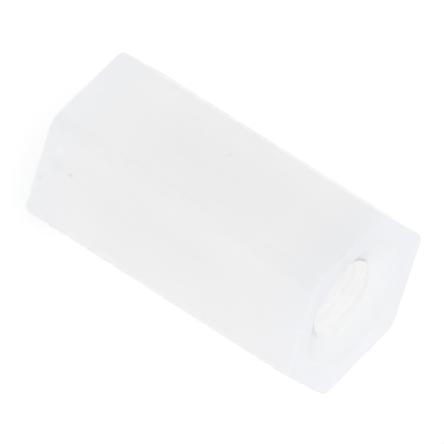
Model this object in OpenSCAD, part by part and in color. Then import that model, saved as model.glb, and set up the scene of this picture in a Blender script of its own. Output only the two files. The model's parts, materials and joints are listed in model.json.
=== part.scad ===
// Hex standoff: a threaded spacer moulded in one piece, with a female thread at both ends.
// It lies on one of its flats. The bore runs along X and the flat underneath is at Z = 0.

/* [Body] */
// Distance across the flats of the hexagon
across_flats = 5.5; // [5:0.1:12]
// Length of the body, from end face to end face
body_length = 10; // [4:0.5:40]
// Radius that rounds each of the six long edges
long_edge_radius = 0.45; // [0.1:0.05:1]

/* [Bore] */
// Nominal diameter of the screw that fits the thread
thread_diameter = 3; // [2:0.1:3.6]
// Pitch of the thread
thread_pitch = 0.5; // [0.35:0.05:0.8]

/* [Countersinks] */
// How far each countersink's mouth reaches past the thread, on each side
countersink_margin = 0.43; // [0.1:0.01:0.7]
// Included angle of each countersink
countersink_angle = 120; // [80:1:140]

/* [Hidden] */
$fn = 96;

// Height of the bore's axis above the flat that the body lies on
axis_height = across_flats / 2;
// The arcs of the long edges are centred on the corners of a smaller hexagon,
// and its side is also the width of the flat that is left between two arcs
arc_centre_radius = (across_flats / 2 - long_edge_radius) / cos(30);
flat_width = arc_centre_radius;

// The thread's minor diameter, which is the usual tapping hole
bore_diameter = thread_diameter - thread_pitch;
mouth_diameter = thread_diameter + 2 * countersink_margin;
countersink_depth = (mouth_diameter - bore_diameter) / 2 / tan(countersink_angle / 2);

// How far a cutter runs out past the face that it enters
overrun = 1;
// Each arc stands this hair proud of its flats, so that arc and flat cross instead of only touching
crossing = 0.00002;

// The section of the body: a hexagon with two level flats and a true arc at each corner
module rounded_hexagon() {
    for (turn = [0, 60, 120])
        rotate(turn)
            square([flat_width, across_flats], center = true);
    for (turn = [0:60:300])
        rotate(turn)
            translate([arc_centre_radius, 0])
                circle(r = long_edge_radius + crossing);
}

// One countersink at the origin. Its mouth faces +Z, and the cone goes on past the mouth.
module countersink() {
    flare = overrun * tan(countersink_angle / 2);
    translate([0, 0, -countersink_depth])
        cylinder(
            h = countersink_depth + overrun,
            d1 = bore_diameter,
            d2 = mouth_diameter + 2 * flare
        );
}

// The tapping hole from end to end, with a countersink at both mouths
module bore() {
    cylinder(h = body_length + 2 * overrun, d = bore_diameter, center = true);
    for (tip = [0, 180])
        rotate([tip, 0, 0])
            translate([0, 0, body_length / 2])
                countersink();
}

// The whole standoff, turned so that its bore lies along X
module standoff() {
    color([0.93, 0.93, 0.935])
        translate([0, 0, axis_height])
            rotate([90, 0, 90])
                difference() {
                    linear_extrude(body_length, center = true) rounded_hexagon();
                    bore();
                }
}

standoff();
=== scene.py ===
"""A white nylon hex standoff, lying on one flat on a pale floor.

The whole piece is one closed mesh: the rounded hexagon outside, a countersink at each end and a
helical thread between them. The file goes from its sizes and its mesh to the nylon, the stage and
the camera.
"""

import json
import math

import bpy
import numpy as np
from mathutils import Matrix, Vector


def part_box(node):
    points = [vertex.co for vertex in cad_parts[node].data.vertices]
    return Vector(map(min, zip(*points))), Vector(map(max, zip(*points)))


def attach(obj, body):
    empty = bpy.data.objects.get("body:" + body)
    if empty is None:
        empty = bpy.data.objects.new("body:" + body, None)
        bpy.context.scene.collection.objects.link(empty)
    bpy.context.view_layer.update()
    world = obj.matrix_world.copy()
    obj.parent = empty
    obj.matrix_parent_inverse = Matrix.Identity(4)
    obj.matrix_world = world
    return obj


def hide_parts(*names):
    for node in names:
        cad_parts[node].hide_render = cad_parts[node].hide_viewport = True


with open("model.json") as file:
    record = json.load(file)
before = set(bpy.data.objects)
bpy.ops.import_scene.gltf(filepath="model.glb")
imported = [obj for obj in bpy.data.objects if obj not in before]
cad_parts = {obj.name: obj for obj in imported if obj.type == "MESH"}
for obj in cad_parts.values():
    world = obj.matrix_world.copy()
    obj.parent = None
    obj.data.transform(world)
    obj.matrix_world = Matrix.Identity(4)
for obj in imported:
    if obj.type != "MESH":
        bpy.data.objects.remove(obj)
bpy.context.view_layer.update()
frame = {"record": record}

MM = 0.001

# ---------------------------------------------------------------- sizes, in metres and radians
LOW, HIGH = (Vector(corner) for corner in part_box("standoff"))
LENGTH = HIGH.x - LOW.x
ACROSS_FLATS = HIGH.z - LOW.z
AXIS_HEIGHT = (HIGH.z + LOW.z) / 2
AXIS_CENTRE = Vector((0, 0, AXIS_HEIGHT))
THREAD_MOUNT = next(m for m in frame["record"]["mounts"] if m["name"] == "thread_right")
CREST_RADIUS = THREAD_MOUNT["dims"]["r_mm"] * MM

LONG_EDGE_RADIUS = 0.45 * MM
END_EDGE_RADIUS = 0.05 * MM
# The hexagon whose corners are the centres of the long edges' arcs
ARC_CENTRE_RADIUS = (ACROSS_FLATS / 2 - LONG_EDGE_RADIUS) / math.cos(math.pi / 6)

THREAD_PITCH = 0.5 * MM
THREAD_DEPTH = 0.27 * MM
THREAD_LEAD_IN = 1.2 * MM
# Half the width of a crest and of a root, as shares of the pitch. The rest is flank.
CREST_HALF = 0.14
ROOT_HALF = 0.07

MOUTH_RADIUS = 2.08 * MM
MOUTH_EDGE_RADIUS = 0.1 * MM
COUNTERSINK_HALF_ANGLE = math.radians(60)
# How far the countersink's wall is turned from the end face
COUNTERSINK_SLOPE = math.pi / 2 - COUNTERSINK_HALF_ANGLE

# ---------------------------------------------------------------- fineness of the mesh
# A ring has an arc and a flat for each of the hexagon's corners. Its points are the mesh's columns.
ARC_STEPS = 12
FLAT_STEPS = 12
COLUMNS = 6 * (ARC_STEPS + FLAT_STEPS)
END_EDGE_STEPS = 4
MOUTH_EDGE_STEPS = 3
ROWS_PER_TURN = 16


def hexagon_section():
    """The rounded hexagon's points about the bore's axis: where each stands on the hexagon through
    the arcs' centres, and its outward normal, both as (y, z)."""
    feet, normals = [], []
    for corner in range(6):
        here = corner * math.pi / 3
        there = here + math.pi / 3
        centre = np.array([math.cos(here), math.sin(here)]) * ARC_CENTRE_RADIUS
        after = np.array([math.cos(there), math.sin(there)]) * ARC_CENTRE_RADIUS
        for step in range(ARC_STEPS):
            angle = here + math.pi / 3 * (step / ARC_STEPS - 0.5)
            feet.append(centre)
            normals.append([math.cos(angle), math.sin(angle)])
        angle = here + math.pi / 6
        for step in range(FLAT_STEPS):
            feet.append(centre + (after - centre) * step / FLAT_STEPS)
            normals.append([math.cos(angle), math.sin(angle)])
    return np.array(feet), np.array(normals)


def outer_rings():
    """The rings of the outside from the end on -X to the end on +X, each COLUMNS points long."""
    feet, normals = hexagon_section()
    stations = []
    for turn in np.linspace(0, math.pi / 2, END_EDGE_STEPS + 1):
        x = LENGTH / 2 - END_EDGE_RADIUS * (1 - math.cos(turn))
        stations.append((x, END_EDGE_RADIUS * (1 - math.sin(turn))))
    rings = []
    for side, steps in ((-1, stations), (1, stations[::-1])):
        for x, inset in steps:
            points = feet + normals * (LONG_EDGE_RADIUS - inset)
            rings.append(np.column_stack([np.full(COLUMNS, side * x), points]))
    return rings


def smooth_step(value, low, high):
    """0 below low, 1 above high, and a smooth rise between them."""
    share = min(max((value - low) / (high - low), 0), 1)
    return share * share * (3 - 2 * share)


def thread_radius(phase, depth):
    """The bore's radius at a place in the thread's pitch, where 0 is the middle of a crest, and at a
    depth below the end face. The thread is shallower in its first turns."""
    away = abs((phase + 0.5) % 1 - 0.5)
    flank = (away - CREST_HALF) / (0.5 - ROOT_HALF - CREST_HALF)
    rise = min(max(flank, 0), 1)
    straight_share = 0.6
    height = straight_share * rise + (1 - straight_share) * smooth_step(rise, 0, 1)
    return CREST_RADIUS + THREAD_DEPTH * height * smooth_step(depth, 0, THREAD_LEAD_IN)


def mouth_rings():
    """The rings that round a mouth's edge, from the countersink to the end face, as (x, radius)."""
    centre_x = LENGTH / 2 - MOUTH_EDGE_RADIUS
    centre_radius = MOUTH_RADIUS + MOUTH_EDGE_RADIUS * math.tan(COUNTERSINK_SLOPE / 2)
    rings = []
    for step in range(MOUTH_EDGE_STEPS + 1):
        turn = COUNTERSINK_SLOPE * (1 - step / MOUTH_EDGE_STEPS)
        x = centre_x + MOUTH_EDGE_RADIUS * math.cos(turn)
        rings.append((x, centre_radius - MOUTH_EDGE_RADIUS * math.sin(turn)))
    return rings


class MeshParts:
    """Vertices and faces of one mesh, gathered ring by ring."""

    def __init__(self):
        self.vertices = []
        self.faces = []

    def point(self, xyz):
        """Adds a vertex and gives back its number."""
        self.vertices.append(tuple(float(v) for v in xyz))
        return len(self.vertices) - 1

    def ring(self, points):
        """Adds a ring of vertices and gives back their numbers."""
        return [self.point(p) for p in points]

    def band(self, first, second):
        """Faces between two rings. With +X to the right and the rings turning from +Y to +Z, a band
        whose second ring lies to the right of its first faces away from the bore's axis."""
        count = len(first)
        for i in range(count):
            j = (i + 1) % count
            self.faces.append((first[i], first[j], second[j], second[i]))


def column_angles():
    """The angle of each column of the bore, turned so that the columns of an arc of the hexagon lie
    evenly about its corner."""
    first = -math.pi / 6 * ARC_STEPS / (ARC_STEPS + FLAT_STEPS)
    return np.arange(COLUMNS) * 2 * math.pi / COLUMNS + first


def circle(x, radius):
    """A ring about the bore's axis, one point in each column."""
    angles = column_angles()
    return np.column_stack([np.full(COLUMNS, x), radius * np.cos(angles), radius * np.sin(angles)])


def bore_wall(parts, end, left_ring, right_ring):
    """The thread and both countersinks, as a radius over rows that follow the helix. Rows that run
    past an end are gathered into that end's ring."""
    angles = column_angles()
    rows = math.ceil((2 * end / THREAD_PITCH + 2) * ROWS_PER_TURN)
    # What comes nearer to an end than this is gathered into its ring
    too_near = 0.004 * THREAD_PITCH
    known = {}

    def vertex(column, row):
        if column == COLUMNS:
            column = 0
            row += ROWS_PER_TURN
        x = -end + THREAD_PITCH * (row / ROWS_PER_TURN + column / COLUMNS - 1)
        if x <= -end + too_near:
            return left_ring[column]
        if x >= end - too_near:
            return right_ring[column]
        if (column, row) not in known:
            depth = LENGTH / 2 - abs(x)
            cone = MOUTH_RADIUS - depth * math.tan(COUNTERSINK_HALF_ANGLE)
            radius = max(thread_radius(row / ROWS_PER_TURN, depth), cone)
            y = radius * math.cos(angles[column])
            z = radius * math.sin(angles[column])
            known[column, row] = parts.point((x, y, z))
        return known[column, row]

    for column in range(COLUMNS):
        for row in range(rows):
            corners = [
                vertex(column, row),
                vertex(column, row + 1),
                vertex(column + 1, row + 1),
                vertex(column + 1, row),
            ]
            kept = [v for n, v in enumerate(corners) if v != corners[n - 1]]
            if len(set(kept)) > 2:
                parts.faces.append(tuple(kept))


def standoff_mesh():
    """The skin in one run: out of the left mouth, along the outside and into the right mouth."""
    parts = MeshParts()
    left_mouth = [parts.ring(circle(-x, r)) for x, r in mouth_rings()]
    outside = [parts.ring(ring) for ring in outer_rings()]
    right_mouth = [parts.ring(circle(x, r)) for x, r in mouth_rings()]
    run = left_mouth + outside + right_mouth[::-1]
    for first, second in zip(run, run[1:]):
        parts.band(first, second)
    bore_wall(parts, mouth_rings()[0][0], left_mouth[0], right_mouth[0])

    mesh = bpy.data.meshes.new("standoff_body")
    mesh.from_pydata(parts.vertices, [], parts.faces)
    mesh.transform(Matrix.Translation(AXIS_CENTRE))
    mesh.validate()
    mesh.update()
    return mesh


# ---------------------------------------------------------------- the nylon
# The shaders work in millimetres
END_MM = LENGTH / 2 / MM
AXIS_MM = AXIS_HEIGHT / MM
CORNER_MM = (ARC_CENTRE_RADIUS + LONG_EDGE_RADIUS) / MM

SKIN_MIDDLE = (0.931, 0.930, 0.930, 1)
# Painted light and shade: the ends and the cut faces take a bluer tone that stands in for light
# scattered out through them, and the cut faces a darker one where more light falls on them.
SKIN_ENDS_PAINTED_TINT = (0.906, 0.911, 0.938, 1)
CUT_FACE = (0.860, 0.869, 0.905, 1)
# Painted light and shade: the bore is lighter, for the light that comes through its wall, and the
# countersinks darker, where light falls straight in.
BORE_PAINTED_LIGHT_TONE = (0.958, 0.961, 0.974, 1)
COUNTERSINK_PAINTED_SHADE = (0.783, 0.802, 0.845, 1)

# Painted shade: how much darker the skin is painted towards its -X end, where less light falls, and
# along its long edges and round its end faces, where it tones down the highlight on the rounded
# edges
LEFT_END_PAINTED_SHADE = 0.022
LONG_EDGE_PAINTED_SHADE = 0.014
END_EDGE_PAINTED_SHADE = 0.1

# How far below an end face a change begins and is complete, in millimetres
PAINTED_END_TINT_REACH = (2.2, 0.2)
COUNTERSINK_TONE_REACH = (1.2, 0.35)
BORE_TRANSLUCENCY_REACH = (0.7, 0.0)
# The same inwards of a long edge
LONG_EDGE_REACH = (0.12, 0.04)
# How much of the surface's normal points along X where a cut end begins and is complete
END_FACING = (0.5, 0.9)

# The tone's factor, or what is added to it, from one end of a noise's range to the other
SKIN_CLOUDS = (0.992, 1.006)
SKIN_GRAIN = (-0.004, 0.004)
BORE_CLOUDS = (0.985, 1.0)

# How far light runs inside the nylon, and the share of the light that does. The bore's share goes
# from the first number, in its depth, to the second, at the end face.
IOR = 1.53
SKIN_SPREAD = 4.0 * MM
SKIN_TRANSLUCENCY = 0.25
BORE_SPREAD = 80.0 * MM
BORE_TRANSLUCENCY = (1.0, 0.6)

# Roughness from one end of a noise's range to the other, and what a cut face adds to it
SKIN_ROUGHNESS = (0.41, 0.49)
BORE_ROUGHNESS = (0.34, 0.46)
CUT_FACE_ROUGHER = 0.08

# How high the marks of manufacture stand
DRAW_LINE_HEIGHT = 0.004 * MM
GRAIN_HEIGHT = 0.003 * MM
CUT_MARK_HEIGHT = 0.0006 * MM
CUT_MARK_SPACING_MM = 0.09
# How strongly the grain breaks up the cut marks
CUT_MARK_UNEVENNESS = 3.0
TEAR_HEIGHT = 0.004 * MM

# The middle part of a noise's values, which its ramps run over
NOISE_RANGE = (0.3, 0.7)

# Marks on the outside: the place and the radius in millimetres, and how much lighter or darker. The
# wide ones are painted light and painted shade, pools that make the skin lighter or darker where the
# light falls unevenly; the small ones are specks, dark and light. A mark fades out from its middle,
# and ends at this many times its radius.
MARK_END = 1.6
SPECKS_AND_PAINTED_LIGHT = (
    # Wide pools of painted light and painted shade
    ((3.5, -2.6, 3.3), 2.6, 0.014),
    ((4.8, 0.6, 5.5), 1.2, -0.012),
    ((5.0, -0.2, -0.2), 2.2, 0.034),
    ((5.0, -0.4, 5.6), 1.6, -0.030),
    ((-4.2, 0.4, 5.5), 1.8, 0.018),
    ((0.5, -3.0, 3.0), 2.4, 0.010),
    # Small specks
    ((0.0, 0.57, 5.5), 0.07, -0.06),
    ((-3.83, -2.24, 4.38), 0.08, -0.11),
    ((-4.38, -2.22, 4.41), 0.22, -0.025),
    ((-4.77, -2.54, 3.84), 0.09, -0.05),
    ((-4.41, -1.98, 4.83), 0.12, 0.03),
    ((-4.54, 0.1, 5.5), 0.15, 0.02),
)


class Graph:
    """Short names for adding nodes to a material or world."""

    def __init__(self, owner, shader="Principled BSDF"):
        owner.use_nodes = True
        self.nodes = owner.node_tree.nodes
        self.links = owner.node_tree.links
        self.shader = self.nodes[shader]

    def put(self, socket, value):
        """Links a socket to the value, or sets it where the value is a constant."""
        if isinstance(value, bpy.types.NodeSocket):
            self.links.new(value, socket)
        else:
            socket.default_value = value

    def add(self, kind, values=(), **settings):
        """A new node, with its settings and with what goes into its sockets."""
        node = self.nodes.new("ShaderNode" + kind)
        for name, value in settings.items():
            setattr(node, name, value)
        for name, value in dict(values).items():
            self.put(node.inputs[name], value)
        return node

    def math(self, operation, *values):
        return self.add("Math", enumerate(values), operation=operation).outputs["Value"]

    def ramp(self, value, low, high, to_low=0.0, to_high=1.0):
        """A smooth step from to_low, where value is low, to to_high, where it is high."""
        values = {
            "Value": value,
            "From Min": low,
            "From Max": high,
            "To Min": to_low,
            "To Max": to_high,
        }
        return self.add("MapRange", values, interpolation_type="SMOOTHSTEP").outputs["Result"]

    def mix(self, factor, first, second):
        node = self.add("Mix", data_type="RGBA")
        for name, value in (("Factor", factor), ("A", first), ("B", second)):
            self.put(node.inputs[name], value)
        return node.outputs["Result"]

    def noise(self, place, features, detail=2.0):
        """Noise with so many features per unit of place along each axis."""
        mapping = self.add("Mapping", {"Vector": place, "Scale": features})
        values = {"Vector": mapping.outputs["Vector"], "Scale": 1.0, "Detail": detail}
        return self.add("TexNoise", values).outputs["Fac"]


def place_in_mm(graph):
    """The place on the part in millimetres, how far along X and how far from the bore's axis it is,
    and the way the surface faces."""
    coordinates = graph.add("TexCoord")
    scale = (1 / MM, 1 / MM, 1 / MM)
    scaled = graph.add("Mapping", {"Vector": coordinates.outputs["Object"], "Scale": scale})
    place = scaled.outputs["Vector"]
    split = graph.add("SeparateXYZ", {"Vector": place})
    sideways = graph.math("POWER", split.outputs["Y"], 2.0)
    upward = graph.math("POWER", graph.math("SUBTRACT", split.outputs["Z"], AXIS_MM), 2.0)
    radius = graph.math("SQRT", graph.math("ADD", sideways, upward))
    return place, split.outputs["X"], radius, coordinates.outputs["Normal"]


def marks(graph, place):
    """What the marks, painted pools of light and shade and small specks, add to the tone."""
    total = 0.0
    for centre, radius, change in SPECKS_AND_PAINTED_LIGHT:
        away = graph.add("VectorMath", operation="DISTANCE")
        graph.put(away.inputs[0], place)
        away.inputs[1].default_value = centre
        mark = graph.ramp(away.outputs["Value"], 0.0, radius * MARK_END, change, 0.0)
        total = graph.math("ADD", total, mark)
    return total


def tinted(graph, colour, gain):
    """A colour times a number."""
    scaled = graph.add("VectorMath", operation="SCALE")
    graph.put(scaled.inputs[0], colour)
    graph.put(scaled.inputs["Scale"], gain)
    return scaled.outputs["Vector"]


def set_nylon(graph, spread, translucency):
    """What the skin and the bore have in common: clear nylon that scatters light inside."""
    shader = graph.shader
    graph.put(shader.inputs["Subsurface Weight"], translucency)
    shader.inputs["Subsurface Scale"].default_value = spread
    shader.inputs["Subsurface Radius"].default_value = (1.0, 1.0, 1.0)
    shader.inputs["IOR"].default_value = IOR


def bump(graph, layers):
    """Stacks heights, each given with how many metres it stands for."""
    normal = None
    for height, distance in layers:
        node = graph.add("Bump", {"Height": height, "Distance": distance, "Strength": 1.0})
        if normal is not None:
            graph.put(node.inputs["Normal"], normal)
        normal = node.outputs["Normal"]
    graph.put(graph.shader.inputs["Normal"], normal)


def skin_material():
    """Hexagon bar, drawn along X and cut square: milky. Its tone holds painted light and shade:
    bluer towards its ends and on its cut faces for light scattered out through them, darker on the
    cut faces where more light falls, lighter and darker in wide pools, and darker towards its -X end
    and along its rounded edges.
    """
    material = bpy.data.materials.new("nylon_skin")
    graph = Graph(material)
    place, along, radius, normal = place_in_mm(graph)
    below_end = graph.math("SUBTRACT", END_MM, graph.math("ABSOLUTE", along))
    inside_edge = graph.math("SUBTRACT", CORNER_MM, radius)
    facing = graph.add("SeparateXYZ", {"Vector": normal})
    on_end = graph.ramp(graph.math("ABSOLUTE", facing.outputs["X"]), *END_FACING)
    on_side = graph.math("SUBTRACT", 1.0, on_end)

    clouds = graph.noise(place, (0.35, 0.6, 0.6))
    grain = graph.noise(place, (9.0, 9.0, 9.0), detail=3.0)
    draw_lines = graph.noise(place, (0.25, 14.0, 14.0), detail=3.0)

    # Painted light: towards the ends and on the cut faces the tone turns bluer, and on the cut faces
    # darker, for how the light falls there.
    tone = graph.mix(graph.ramp(below_end, *PAINTED_END_TINT_REACH), SKIN_MIDDLE, SKIN_ENDS_PAINTED_TINT)
    tone = graph.mix(on_end, tone, CUT_FACE)
    on_end_edge = graph.math("MULTIPLY", on_end, on_side)
    gain = graph.ramp(clouds, *NOISE_RANGE, *SKIN_CLOUDS)
    # Painted light and shade join the tone here: the wide pools among the marks, and painted shade
    # at the -X end, along the long edges and round the end faces.
    for change in (
        marks(graph, place),
        graph.ramp(grain, *NOISE_RANGE, *SKIN_GRAIN),
        graph.ramp(along, -END_MM, -END_MM / 2, -LEFT_END_PAINTED_SHADE, 0.0),
        graph.ramp(inside_edge, *LONG_EDGE_REACH, 0.0, -LONG_EDGE_PAINTED_SHADE),
        graph.math("MULTIPLY", on_end_edge, -END_EDGE_PAINTED_SHADE),
    ):
        gain = graph.math("ADD", gain, change)
    graph.put(graph.shader.inputs["Base Color"], tinted(graph, tone, gain))

    turned = graph.math("SINE", graph.math("MULTIPLY", radius, 2 * math.pi / CUT_MARK_SPACING_MM))
    uneven = graph.math("ADD", turned, graph.math("MULTIPLY", grain, CUT_MARK_UNEVENNESS))
    bump(graph, (
        (graph.math("MULTIPLY", draw_lines, on_side), DRAW_LINE_HEIGHT),
        (grain, GRAIN_HEIGHT),
        (graph.math("MULTIPLY", on_end, uneven), CUT_MARK_HEIGHT),
    ))
    roughness = graph.math(
        "ADD",
        graph.ramp(draw_lines, *NOISE_RANGE, *SKIN_ROUGHNESS),
        graph.math("MULTIPLY", on_end, CUT_FACE_ROUGHER),
    )
    graph.put(graph.shader.inputs["Roughness"], roughness)
    set_nylon(graph, SKIN_SPREAD, SKIN_TRANSLUCENCY)
    return material


def bore_material():
    """The tapped bore and the countersinks, lit through the wall around it. Their tone is painted
    light and shade as well: lighter deep in the bore for the light through the wall, and darker on
    the countersinks, where light falls straight in.
    """
    material = bpy.data.materials.new("nylon_bore")
    graph = Graph(material)
    place, along, _, _ = place_in_mm(graph)
    below_end = graph.math("SUBTRACT", END_MM, graph.math("ABSOLUTE", along))

    clouds = graph.noise(place, (0.8, 0.8, 0.8))
    tears = graph.noise(place, (14.0, 5.0, 5.0), detail=3.0)

    # Painted light and shade: the tone goes from the lighter bore in the depth to the darker
    # countersink near the end face.
    painted_countersink_shade = graph.ramp(below_end, *COUNTERSINK_TONE_REACH)
    tone = graph.mix(painted_countersink_shade, BORE_PAINTED_LIGHT_TONE, COUNTERSINK_PAINTED_SHADE)
    gain = graph.ramp(clouds, *NOISE_RANGE, *BORE_CLOUDS)
    graph.put(graph.shader.inputs["Base Color"], tinted(graph, tone, gain))
    graph.put(graph.shader.inputs["Roughness"], graph.ramp(tears, *NOISE_RANGE, *BORE_ROUGHNESS))
    bump(graph, ((tears, TEAR_HEIGHT),))
    translucency = graph.ramp(below_end, *BORE_TRANSLUCENCY_REACH, *BORE_TRANSLUCENCY)
    set_nylon(graph, BORE_SPREAD, translucency)
    return material


# ---------------------------------------------------------------- the piece
SKIN_SLOT = 0
BORE_SLOT = 1
# How far inside the mouth's radius the bore's material begins
SLOT_MARGIN = 0.02 * MM

body = bpy.data.objects.new("nylon_standoff", standoff_mesh())
bpy.context.collection.objects.link(body)
body.data.materials.append(skin_material())
body.data.materials.append(bore_material())
for polygon in body.data.polygons:
    polygon.use_smooth = True
    _, y, z = polygon.center
    in_mouth = math.hypot(y, z - AXIS_HEIGHT) < MOUTH_RADIUS - SLOT_MARGIN
    polygon.material_index = BORE_SLOT if in_mouth else SKIN_SLOT
body.modifiers.new("weighted_normals", "WEIGHTED_NORMAL")
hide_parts("standoff")
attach(body, "root")

# ---------------------------------------------------------------- stage
FLOOR_HALF = 1.0
FLOOR_GAP = 0.01 * MM
# The light that the floor gives back to the part, and the tone of what is seen of the floor, which
# the sky and the lamps light up to white outside the part's shadow
FLOOR_LIGHT = 0.95
FLOOR_WHITE = 1.18
SKY_ZENITH = 0.44
SKY_HORIZON = 0.88

# Name, azimuth, elevation and level, which is the tone that the lamp alone gives to a white surface
# that faces it
LAMPS = (
    ("front", 45, 53, 0.19),
    ("back", 170, 42, 0.155),
    ("left", -80, 20, 0.18),
    ("right", 80, 45, 0.09),
)
LAMP_DISTANCE = 0.6
LAMP_SIZE = 0.42


def grey(value):
    return (value, value, value, 1)


def seen_directly(graph):
    """1 for what the camera sees, also mirrored or through something clear, and 0 for what lights
    the part."""
    rays = graph.add("LightPath").outputs
    mirrored = graph.math("MAXIMUM", rays["Is Glossy Ray"], rays["Is Transmission Ray"])
    return graph.math("MAXIMUM", rays["Is Camera Ray"], mirrored)


def floor_material():
    """A white table. What is seen of it is lit by the sky and the lamps, so that it keeps the part's
    shadow. The light that it gives back is even, also under the part, as on a table that is lit from
    below."""
    material = bpy.data.materials.new("floor")
    graph = Graph(material)
    shader = graph.shader
    seen = seen_directly(graph)
    graph.put(shader.inputs["Base Color"], graph.mix(seen, grey(0.0), grey(FLOOR_WHITE)))
    given = graph.math("MULTIPLY", graph.math("SUBTRACT", 1.0, seen), FLOOR_LIGHT)
    graph.put(shader.inputs["Emission Strength"], given)
    shader.inputs["Emission Color"].default_value = grey(1.0)
    shader.inputs["Roughness"].default_value = 1.0
    shader.inputs["Specular IOR Level"].default_value = 0.0
    return material


def make_floor():
    mesh = bpy.data.meshes.new("floor")
    corners = [(FLOOR_HALF * x, FLOOR_HALF * y, 0) for x, y in ((-1, -1), (1, -1), (1, 1), (-1, 1))]
    mesh.from_pydata(corners, [], [(0, 1, 2, 3)])
    floor = bpy.data.objects.new("floor", mesh)
    bpy.context.collection.objects.link(floor)
    floor.location.z = LOW.z - FLOOR_GAP
    mesh.materials.append(floor_material())


def make_world():
    """Soft light that fades from the zenith to the horizon, in front of a plain white backdrop."""
    world = bpy.data.worlds.new("world")
    bpy.context.scene.world = world
    graph = Graph(world, "Background")
    direction = graph.add("TexCoord").outputs["Generated"]
    upward = graph.add("SeparateXYZ", {"Vector": direction}).outputs["Z"]
    sky = graph.mix(upward, grey(SKY_HORIZON), grey(SKY_ZENITH))
    graph.put(graph.shader.inputs["Color"], graph.mix(seen_directly(graph), sky, grey(1.0)))
    graph.shader.inputs["Strength"].default_value = 1.0


def looking_back(azimuth, elevation, roll=0.0):
    """The turn of a camera or a lamp that looks at the part from one side. Angles are in degrees,
    and an azimuth of 0 is the -Y side and 90 the +X side."""
    return (
        Matrix.Rotation(math.radians(azimuth), 4, "Z")
        @ Matrix.Rotation(math.radians(90 - elevation), 4, "X")
        @ Matrix.Rotation(math.radians(roll), 4, "Z")
    )


def make_lamps():
    for name, azimuth, elevation, level in LAMPS:
        light = bpy.data.lights.new(name, "AREA")
        light.shape = "SQUARE"
        light.size = LAMP_SIZE
        light.energy = level * math.pi ** 2 * LAMP_DISTANCE ** 2
        lamp = bpy.data.objects.new(name, light)
        bpy.context.collection.objects.link(lamp)
        out = Matrix.Translation((0, 0, LAMP_DISTANCE))
        lamp.matrix_world = Matrix.Translation(AXIS_CENTRE) @ looking_back(azimuth, elevation) @ out


make_floor()
make_world()
make_lamps()

# ---------------------------------------------------------------- camera
AZIMUTH = 44.5
ELEVATION = 53.45
ROLL = -5.95
# In millimetres, on the camera's sensor
FOCAL_LENGTH = 1000
SENSOR_WIDTH = 36
# What the picture shows across, and how far right of its middle and below it the bore's middle is
VIEW_WIDTH = 13.04 * MM
PART_RIGHT = 0.03 * MM
PART_DOWN = 0.025 * MM


def make_camera():
    data = bpy.data.cameras.new("camera")
    data.lens = FOCAL_LENGTH
    data.sensor_width = SENSOR_WIDTH
    data.clip_start = 0.01
    data.clip_end = 10
    camera = bpy.data.objects.new("camera", data)
    bpy.context.collection.objects.link(camera)
    turn = looking_back(AZIMUTH, ELEVATION, ROLL)
    right, up, back = (turn.to_3x3().col[axis] for axis in range(3))
    middle = AXIS_CENTRE - right * PART_RIGHT + up * PART_DOWN
    away = VIEW_WIDTH * FOCAL_LENGTH / SENSOR_WIDTH
    camera.matrix_world = Matrix.Translation(middle + back * away) @ turn
    bpy.context.scene.camera = camera


make_camera()
bpy.context.scene.view_settings.view_transform = "Standard"
